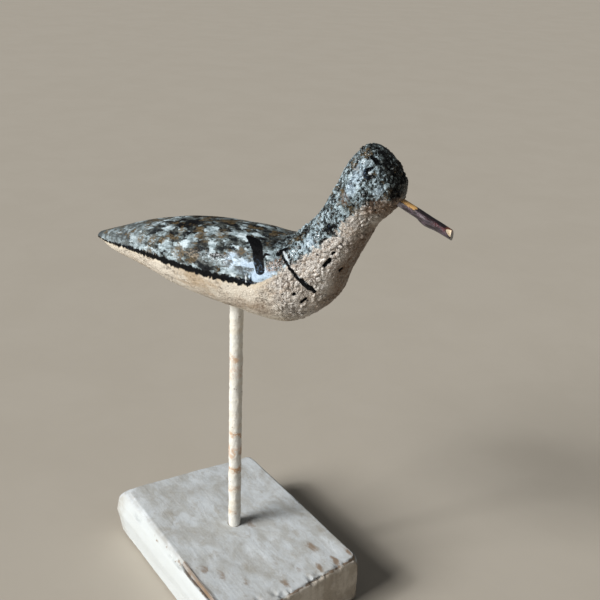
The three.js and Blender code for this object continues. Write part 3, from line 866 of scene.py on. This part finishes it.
def makeBill(plan, bark, cutWood):
    way, down = billWay(plan)
    root = rodFoot + plan["root"]
    places = [root + at * way + sag * down for at, radius, sag in plan["rings"]]
    radii = [radius for at, radius, sag in plan["rings"]]
    piece = stickAlong("billTwig", places, radii, plan["rows"], plan["sides"], plan["lumpSize"], plan["lumpHeight"],
                       2.5, plan["seed"], bark)
    piece.data.materials.append(cutWood)

    shape = bmesh.new()
    shape.from_mesh(piece.data)
    bmesh.ops.remove_doubles(shape, verts=shape.verts, dist=1e-6)

    def cutOff(place, facing):
        ends = bmesh.ops.bisect_plane(shape, geom=shape.verts[:] + shape.edges[:] + shape.faces[:], dist=1e-7,
                                      plane_co=Vector(place) * mm, plane_no=Vector(facing), clear_outer=True)
        rim = [item for item in ends["geom_cut"] if isinstance(item, bmesh.types.BMEdge)]
        return bmesh.ops.contextual_create(shape, geom=rim)["faces"]

    # the end is broken off on a slant, and a pale facet is whittled into the upper right of it
    cutOff(root + plan["endAt"] * way + radii[-1] * down, way - plan["endUp"] * down)
    side = -plan["cutUp"] * down + plan["cutRight"] * np.array([0, -1, 0])
    side /= np.linalg.norm(side)
    slope = math.radians(plan["cutSlope"])
    lid = cutOff(root + plan["cutFrom"] * way + radii[-1] * side, math.sin(slope) * way + math.cos(slope) * side)
    bmesh.ops.inset_region(shape, faces=lid, thickness=0.2 * mm, depth=-0.05 * mm)
    for face in lid:
        face.material_index = 1
    bmesh.ops.recalc_face_normals(shape, faces=shape.faces)
    shape.to_mesh(piece.data)
    shape.free()

    points = readPoints(piece) - root
    along = points @ way
    low = points @ down
    writeField(piece, "fromRoot", along)
    writeField(piece, "fromTop", -low)
    writeField(piece, "toRight", -points[:, 1])
    finishPiece(piece, "bill_twig", sharpness=40)
    return piece


barkLook = {
    "bark": tone(78, 64, 76), "dark": tone(24, 14, 18), "red": tone(92, 34, 40), "peeled": tone(204, 160, 98),
    "scuffed": tone(118, 66, 46), "rootGrey": tone(176, 172, 182), "cutPale": tone(248, 232, 204),
}


def makeBark(look):
    material, tree, shader = newMaterial("twigBark", Coat_Roughness=0.3, Coat_Weight=1.0)
    turned = addNode(tree, "ShaderNodeMapping", {"Vector": addNode(tree, "ShaderNodeTexCoord").outputs["Object"],
                                                 "Rotation": (0, math.radians(-bill["droop"]), 0)}).outputs[0]
    fibre = addNode(tree, "ShaderNodeMapping", {"Vector": turned, "Scale": (0.25, 1, 1)}).outputs[0]
    streak = useGroup(tree, blotches, vector=fibre, scale=1200.0, detail=6.0, roughness=0.7, low=0.42, high=0.6)
    broad = useGroup(tree, blotches, vector=turned, scale=330.0, detail=5.0, roughness=0.65, low=0.45, high=0.6)["Mask"]
    fromRoot, fromTop, toRight = (field(tree, name) for name in ("fromRoot", "fromTop", "toRight"))

    def times(value, factor):
        return calc(tree, "MULTIPLY", value, factor)

    def plus(value, more):
        return calc(tree, "ADD", value, more)

    wander = plus(streak["Plain"], -0.5)
    colour = blend(tree, streak["Mask"], look["dark"], look["bark"])
    colour = blend(tree, times(times(broad, between(tree, fromRoot, 12.0, 22.0, 0.2, 0.8)), between(tree, fromTop, -0.5, 0.8)),
                   colour, look["red"])
    pits = useGroup(tree, specks, vector=turned, scale=900.0, size=0.5, share=0.3)["Mask"]
    colour = blend(tree, times(pits, 0.6), colour, look["dark"])
    colour = blend(tree, between(tree, plus(fromTop, times(wander, 2.0)), 1.3, 1.7), colour, look["dark"])
    # a peeled strip on top near the root, a scuff before the cut, pale grey on the lower side at the root, and a dark
    # end that is partly painted shade
    strip = times(between(tree, plus(fromTop, times(wander, 2.4)), 0.9, 1.2),
                  between(tree, plus(fromRoot, times(wander, 7.0)), 8.0, 7.0))
    colour = blend(tree, strip, colour, look["peeled"])
    scuff = times(between(tree, fromRoot, 22.0, 23.6), between(tree, plus(fromTop, times(wander, 4.0)), 0.8, 1.6))
    colour = blend(tree, times(scuff, 0.8), colour, look["scuffed"])
    rootGrey = times(between(tree, plus(fromRoot, times(wander, 5.0)), 2.6, 1.2), between(tree, fromTop, 1.2, 0.4))
    colour = blend(tree, times(rootGrey, 0.75), colour, look["rootGrey"])
    # the broken end is dark bark, deepened as painted shade on the end face, which is turned from the light
    colour = blend(tree, between(tree, fromRoot, 25.6, 26.4), colour, look["dark"])
    roughness = between(tree, streak["Plain"], 0.3, 0.7, 0.28, 0.5)
    relief = calc(tree, "SUBTRACT", plus(streak["Plain"], times(broad, 0.4)), times(strip, 0.6))
    dress(tree, shader, colour, roughness, relief, 0.16)
    return material


def makeCutWood(look):
    material, tree, shader = newMaterial("cutTwigWood")
    place = objectPlace(tree)
    grain = useGroup(tree, blotches, vector=place, scale=1300.0, detail=4.0, low=0.4, high=0.65)
    colour = blend(tree, calc(tree, "MULTIPLY", grain["Mask"], 0.5), look["cutPale"], look["peeled"])
    dress(tree, shader, colour, between(tree, grain["Plain"], 0.3, 0.7, 0.5, 0.7), grain["Plain"], 0.1)
    return material


# the rod

rod = {
    "bottom": -16, "top": 149, "radius": 3.5, "places": 12, "rows": 420, "sides": 64,
    "lumpSize": 5.5, "lumpHeight": 1.2, "seed": 3,
    "wornBands": [(103.5, 2.4, 0.75), (96.5, 4, 0.45), (58, 2, 0.9), (48, 4.5, 0.75), (37.5, 2.2, 0.9), (25, 3, 0.5), (8.4, 0.8, 0.5)],
}  # each band: height above the block, half its height, strength


def makeRod(plan, paint):
    heights = np.linspace(plan["bottom"], plan["top"], plan["places"])
    places = [rodFoot + (0, 0, height) for height in heights]
    piece = stickAlong("standRod", places, [plan["radius"]] * len(places), plan["rows"], plan["sides"],
                       plan["lumpSize"], plan["lumpHeight"], 1.0, plan["seed"], paint)
    shape = bmesh.new()
    shape.from_mesh(piece.data)
    bmesh.ops.remove_doubles(shape, verts=shape.verts, dist=1e-6)
    bmesh.ops.recalc_face_normals(shape, faces=shape.faces)
    shape.to_mesh(piece.data)
    shape.free()
    points = readPoints(piece)
    height = points[:, 2] - rodFoot[2] + 5 * (layeredNoise(points, 4, 15) - 0.5)
    worn = sum(strength * (1 - ease(np.abs(height - middle), 0.3 * half, 1.3 * half))
               for middle, half, strength in plan["wornBands"])
    writeField(piece, "wornBand", worn)
    finishPiece(piece, "stand_rod")
    return piece


rodPaintLook = {
    "white": tone(232, 230, 222), "cream": tone(220, 204, 176), "rust": tone(194, 146, 98), "wood": tone(112, 78, 50),
}


def makeRodPaint(look):
    material, tree, shader = newMaterial("rodPaint")
    place = objectPlace(tree)
    banded = objectPlace(tree, stretch=(0.35, 0.35, 1))
    cream = useGroup(tree, blotches, vector=banded, scale=90.0, detail=5.0, low=0.46, high=0.66)
    drips = useGroup(tree, blotches, vector=place, scale=420.0, detail=5.0, roughness=0.7, low=0.62, high=0.68)
    patchy = useGroup(tree, blotches, vector=place, scale=260.0, detail=6.0, roughness=0.7, low=0.35, high=0.6)["Mask"]
    worn = field(tree, "wornBand")
    colour = blend(tree, calc(tree, "MULTIPLY", cream["Mask"], 0.5), look["white"], look["cream"])
    colour = blend(tree, calc(tree, "MULTIPLY", calc(tree, "MINIMUM", worn, 1.0), between(tree, patchy, 0.3, 1.0, 0.1, 0.95)),
                   colour, look["rust"])
    colour = blend(tree, calc(tree, "MULTIPLY", drips["Mask"], 0.7), colour, look["wood"])
    roughness = between(tree, drips["Plain"], 0.3, 0.7, 0.4, 0.62)
    relief = calc(tree, "ADD", drips["Plain"], calc(tree, "MULTIPLY", cream["Plain"], 0.8))
    dress(tree, shader, colour, roughness, relief, 0.3)
    return material


# the block

block = {
    "turn": -28.5, "height": 29, "cornerRadii": [5, 3.5, 3.5, 4], "cornerSteps": 6,
    "levels": [  # height, then the corners: far right, near right, near left, far left, x along the long side
        (0, [(-61, -42.5), (65, -41), (56, 41), (-53, 39)]),
        (2, [(-63, -44.5), (66.5, -42.5), (57.5, 42), (-54, 40)]),
        (17, [(-64.5, -47), (67, -43), (57.5, 42), (-54.5, 40.5)]),
        (24, [(-64, -46), (66.5, -42.5), (57, 41.5), (-54.5, 40)]),
        (27.6, [(-61.5, -43), (66, -41.5), (56.5, 41), (-54, 39.5)]),
        (29, [(-58.5, -40), (64.5, -40.2), (55, 39.6), (-52.8, 38.4)]),
    ],
    "voxel": 0.85, "hole": (3.75, 12.7, 31),
    "splinter": [(14, -40.6, 28.6), (24, -40.8, 28.8), (36, -40.4, 28.8), (50, -40.2, 28.7)],
    "stainsAndRodShadow": [  # brown showing through the top, and beside the rod's foot dirt with a painted shadow of the rod: place, half length, half width, strength
        ((37, 23.5), 6, 2.4, 0.8), ((52.5, 28), 6, 2.4, 1.0), ((51.5, 38), 5, 2, 0.9), ((55, -3.6), 5, 2.4, 0.8),
        # the fourth oval on the next line, beside the rod's foot, is dirt with the painted shadow of the rod
        ((53, 18), 5, 2.4, 0.8), ((32, -28), 6, 3, 0.7), ((24, -34), 5, 3, 0.7), ((4, 5), 6, 3, 0.7), ((47, 8), 6, 2, 0.6),
        ((-30, 30), 6, 3, 0.4), ((-45, -20), 6, 3, 0.4), ((44, -20), 7, 2.5, 0.5),
    ],
    "whites": [((29, -4), 12, 5, 1.0), ((41, 33), 9, 4, 1.0), ((-48, -38), 9, 4, 0.8), ((20, 12), 9, 5, 0.6), ((-20, 10), 9, 5, 0.4)],
}


def blockRing(height, corners, radii, steps):
    spots = [np.array(corner, float) for corner in corners]
    ring = []
    for index, corner in enumerate(spots):
        before = spots[index - 1] - corner
        after = spots[(index + 1) % len(spots)] - corner
        before, after = before / np.linalg.norm(before), after / np.linalg.norm(after)
        halfAngle = math.acos(before @ after) / 2
        bisector = (before + after) / np.linalg.norm(before + after)
        middle = corner + bisector * radii[index] / math.sin(halfAngle)
        start = math.atan2(before[0], -before[1])
        for step in range(steps + 1):
            angle = start + step / steps * (math.pi - 2 * halfAngle)
            ring.append((middle[0] + radii[index] * math.cos(angle), middle[1] + radii[index] * math.sin(angle), height))
    return ring


def ovalField(points, ovals):
    total = np.zeros(len(points))
    for (x, y), length, width, strength in ovals:
        away = np.hypot((points[:, 0] - x) / length, (points[:, 1] - y) / width)
        total += strength * (1 - ease(away, 0.2, 1.5))
    return total


def makeBlock(plan, paint):
    rings = [blockRing(height, corners, plan["cornerRadii"], plan["cornerSteps"]) for height, corners in plan["levels"]]
    around = len(rings[0])
    points = np.vstack(rings + [[(0, 0, 0), (0, 0, plan["height"])]])
    slope = math.radians(plan["turn"])
    turn = np.array([[math.cos(slope), -math.sin(slope), 0], [math.sin(slope), math.cos(slope), 0], [0, 0, 1]])
    piece = meshPiece("standBase", points, skinFaces(len(rings), around))
    cubes = piece.modifiers.new("evenFaces", "REMESH")
    cubes.mode = "VOXEL"
    cubes.voxel_size = plan["voxel"] * mm
    piece = settled(piece)
    points, normals = readPoints(piece), readNormals(piece)
    side = np.clip(normals, -1, 1)

    top, bottom = ease(side[:, 2], 0.5, 0.9), ease(-side[:, 2], 0.5, 0.9)
    ends = ease(np.abs(side[:, 0]), 0.6, 0.85)
    arris = 1 - ease(np.abs(side).max(axis=1), 0.82, 0.97)
    grain = layeredNoise(points, (60, 2.0, 2.0), 71)
    sawn = softNoise(points, (300, 1.6, 300), 75)
    dents = layeredNoise(points, 9, 81)
    height = -0.12 + (layeredNoise(points, (50, 26, 26), 91, 2) - 0.5) * 0.7 * (1 - bottom)
    height += (grain - 0.5) * (0.12 + 0.2 * bottom) * (1 - ends)
    height += (layeredNoise(points, 5, 79) - 0.5) * 0.35 * (1 - bottom)
    height += (sawn - 0.5) * 0.3 * ends + (layeredNoise(points, 1.7, 77) - 0.5) * 0.25 * ends
    height -= arris * (0.15 + 1.2 * ease(dents, 0.5, 0.75))
    nearTop = ease(points[:, 0], 52, 60) * ease(points[:, 2], 25.5, 28.5)
    height -= nearTop * 1.1 * ease(layeredNoise(points, (4, 3, 6), 85), 0.48, 0.7)
    away, along = nearLine(points, plan["splinter"])
    height += 0.7 * (1 - ease(away, 0.5, 1.3)) - 0.9 * (1 - ease(np.abs(away - 2.0), 0.2, 0.8)) * (side[:, 1] < -0.3)
    height = np.where(points[:, 2] < 0.6, np.minimum(height, 0), np.minimum(height, 0.45))
    moved = points + normals * height[:, None]
    moved[:, 2] = np.clip(moved[:, 2], 0, None)
    piece.data.materials.append(paint)
    writePoints(piece, moved @ turn.T)

    writeField(piece, "topFace", top)
    writeField(piece, "endFace", ends)
    writeField(piece, "underside", bottom)
    writeField(piece, "nearSide", ease(-side[:, 1], 0.5, 0.8))
    writeField(piece, "arris", arris)
    writeField(piece, "splinter", 1 - ease(away, 0.8, 1.8))
    writeField(piece, "splinterGapShade", 1 - ease(np.abs(away - 1.9), 0.3, 0.9))
    writeField(piece, "stainAndShade", ovalField(points, plan["stainsAndRodShadow"]) * top)
    writeField(piece, "thickWhite", ovalField(points, plan["whites"]) * top)
    writeField(piece, "toNearEnd", points[:, 0] / 60)
    radius, start, stop = plan["hole"]
    piece = bored(piece, [drillBit(radius, (rodFoot[0], rodFoot[1], start), (rodFoot[0], rodFoot[1], stop))], bareWood)
    finishPiece(piece, "stand_base")
    return piece


blockPaintLook = {
    "wash": tone(204, 209, 212), "washShade": tone(178, 178, 174), "thickWash": tone(224, 229, 232), "tanSpot": tone(150, 138, 118),
    # the worn brown colour on the next line also paints the shadow of the rod beside its foot
    "wornBrownAndShadow": tone(132, 108, 84), "sideWhite": tone(200, 204, 203), "endWash": tone(226, 218, 206),
    # the last colour on the next line is painted shade in the gap under the splinter
    "bare": tone(166, 152, 132), "bareDark": tone(92, 78, 64), "gap": tone(48, 40, 34),
}


def makeBlockPaint(look):
    material, tree, shader = newMaterial("limedBlock", Specular_IOR_Level=0.3)
    place = objectPlace(tree, turn=-block["turn"])
    grain = useGroup(tree, woodGrain, vector=place)
    ends, under, near, arris = (field(tree, name) for name in ("endFace", "underside", "nearSide", "arris"))
    splinter, gap, stainAndShade, thick = (field(tree, name) for name in ("splinter", "splinterGapShade", "stainAndShade", "thickWhite"))
    toNearEnd = field(tree, "toNearEnd")

    def stretched(along):
        return addNode(tree, "ShaderNodeMapping", {"Vector": place, "Scale": (along, 1, 1)}).outputs[0]

    def times(value, factor):
        return calc(tree, "MULTIPLY", value, factor)

    def plus(value, more):
        return calc(tree, "ADD", value, more)

    # limewash over the top and the sides, thin enough in places to show tan and brown
    cloud = useGroup(tree, blotches, vector=stretched(0.8), scale=90.0, detail=7.0, roughness=0.65, bend=0.4, low=0.34, high=0.66)
    thin = useGroup(tree, blotches, vector=stretched(0.6), scale=190.0, detail=7.0, roughness=0.7, bend=0.4, low=0.5, high=0.7)
    wash = blend(tree, cloud["Mask"], look["washShade"], look["wash"])
    wash = blend(tree, times(thin["Mask"], 0.42), wash, look["tanSpot"])
    wash = blend(tree, times(calc(tree, "MINIMUM", thick, 1.0), between(tree, thin["Plain"], 0.35, 0.55, 0.9, 0.3)),
                 wash, look["thickWash"])
    # brown shows through where the wash is thin; beside the rod's foot it is dirt with the painted shadow of the rod
    show = between(tree, plus(times(stainAndShade, 0.3), thin["Plain"]), 0.6, 0.78)
    wash = blend(tree, times(show, calc(tree, "MINIMUM", stainAndShade, 0.85)), wash, look["wornBrownAndShadow"])
    wash = blend(tree, between(tree, grain["Fibre"], 0.58, 0.75, 0.0, 0.12), wash, look["bareDark"])
    white = blend(tree, times(cloud["Mask"], 0.35), look["sideWhite"], look["wash"])
    tanEnd = times(between(tree, plus(toNearEnd, times(thin["Plain"], 0.4)), -0.6, -0.85), 0.5)
    white = blend(tree, tanEnd, white, look["tanSpot"])
    white = blend(tree, between(tree, grain["Figure"], 0.55, 0.75, 0.0, 0.2), white, look["washShade"])
    colour = blend(tree, near, wash, white)

    # the sawn ends are washed more thinly, the underside is bare
    endGrain = useGroup(tree, blotches, vector=place, scale=600.0, detail=5.0, roughness=0.7, low=0.4, high=0.65)
    smear = useGroup(tree, blotches, vector=place, scale=80.0, detail=6.0, roughness=0.7, low=0.42, high=0.62)["Mask"]
    bareEnd = blend(tree, times(endGrain["Mask"], 0.4), look["bare"], look["bareDark"])
    bareEnd = blend(tree, plus(times(smear, 0.45), 0.4), bareEnd, look["endWash"])
    colour = blend(tree, ends, colour, bareEnd)
    bare = blend(tree, between(tree, grain["Figure"], 0.35, 0.65), look["bareDark"], look["bare"])
    colour = blend(tree, under, colour, bare)

    # rubbed along the edges, most at the near end
    wear = plus(times(arris, between(tree, toNearEnd, -1.0, 0.8, 0.3, 0.55)), times(thin["Plain"], 1.0))
    colour = blend(tree, between(tree, wear, 0.94, 1.04, 0.0, 0.8), colour, look["wornBrownAndShadow"])
    colour = blend(tree, times(splinter, between(tree, grain["Fibre"], 0.4, 0.6, 0.5, 0.9)), colour, look["wornBrownAndShadow"])
    # painted shade: the gap under the splinter on the near side is darkened
    colour = blend(tree, times(gap, times(near, 0.9)), colour, look["gap"])
    roughness = plus(times(grain["Fibre"], 0.25), 0.62)
    relief = plus(plus(times(grain["Fibre"], 0.25), times(endGrain["Plain"], 0.4)), times(thin["Plain"], 0.6))
    dress(tree, shader, colour, roughness, relief, 0.35)
    return material


makeBird(bird, makeBirdPaint(birdPaintLook))
makeBill(bill, makeBark(barkLook), makeCutWood(barkLook))
makeRod(rod, makeRodPaint(rodPaintLook))
makeBlock(block, makeBlockPaint(blockPaintLook))


# floor and light

studio = {
    "floor": tone(184, 176, 163), "floorSize": 12.0,
    "lights": [  # name, where it shines from, width in degrees, strength, colour
        ("window", (-0.48, -0.667, 0.487), 32, 4.0, (1.0, 0.995, 0.98)),
        ("brightPane", (-0.52, -0.62, 0.56), 6, 0.55, (0.96, 0.98, 1.0)),
    ],
    "fillColour": (0.58, 0.59, 0.60), "fillStrength": 0.17,
}


def makeStudio(look):
    half = look["floorSize"] / 2 / mm
    floor = meshPiece("floor", [(-half, -half, 0), (half, -half, 0), (half, half, 0), (-half, half, 0)], [(0, 1, 2, 3)])
    material, tree, shader = newMaterial("paleFloor")
    cloud = useGroup(tree, blotches, vector=objectPlace(tree), scale=12.0, low=0.3, high=0.7)
    colour = blend(tree, calc(tree, "MULTIPLY", cloud["Mask"], 0.12), look["floor"], tone(150, 140, 124))
    dress(tree, shader, colour, between(tree, cloud["Plain"], 0.0, 1.0, 0.7, 0.9), cloud["Plain"], 0.1)
    floor.data.materials.append(material)
    for name, place, width, strength, colour in look["lights"]:
        data = bpy.data.lights.new(name, "SUN")
        data.angle = math.radians(width)
        data.energy = strength
        data.color = colour
        light = bpy.data.objects.new(name, data)
        aim = -Vector(place)
        light.matrix_world = Matrix.Translation(place) @ aim.to_track_quat("-Z", "Y").to_matrix().to_4x4()
        bpy.context.scene.collection.objects.link(light)
    world = bpy.data.worlds.new("room")
    world.use_nodes = True
    background = world.node_tree.nodes["Background"]
    background.inputs["Color"].default_value = (*look["fillColour"], 1)
    background.inputs["Strength"].default_value = look["fillStrength"]
    bpy.context.scene.world = world
    bpy.context.scene.view_settings.view_transform = "Standard"


makeStudio(studio)
print("floor and light made")
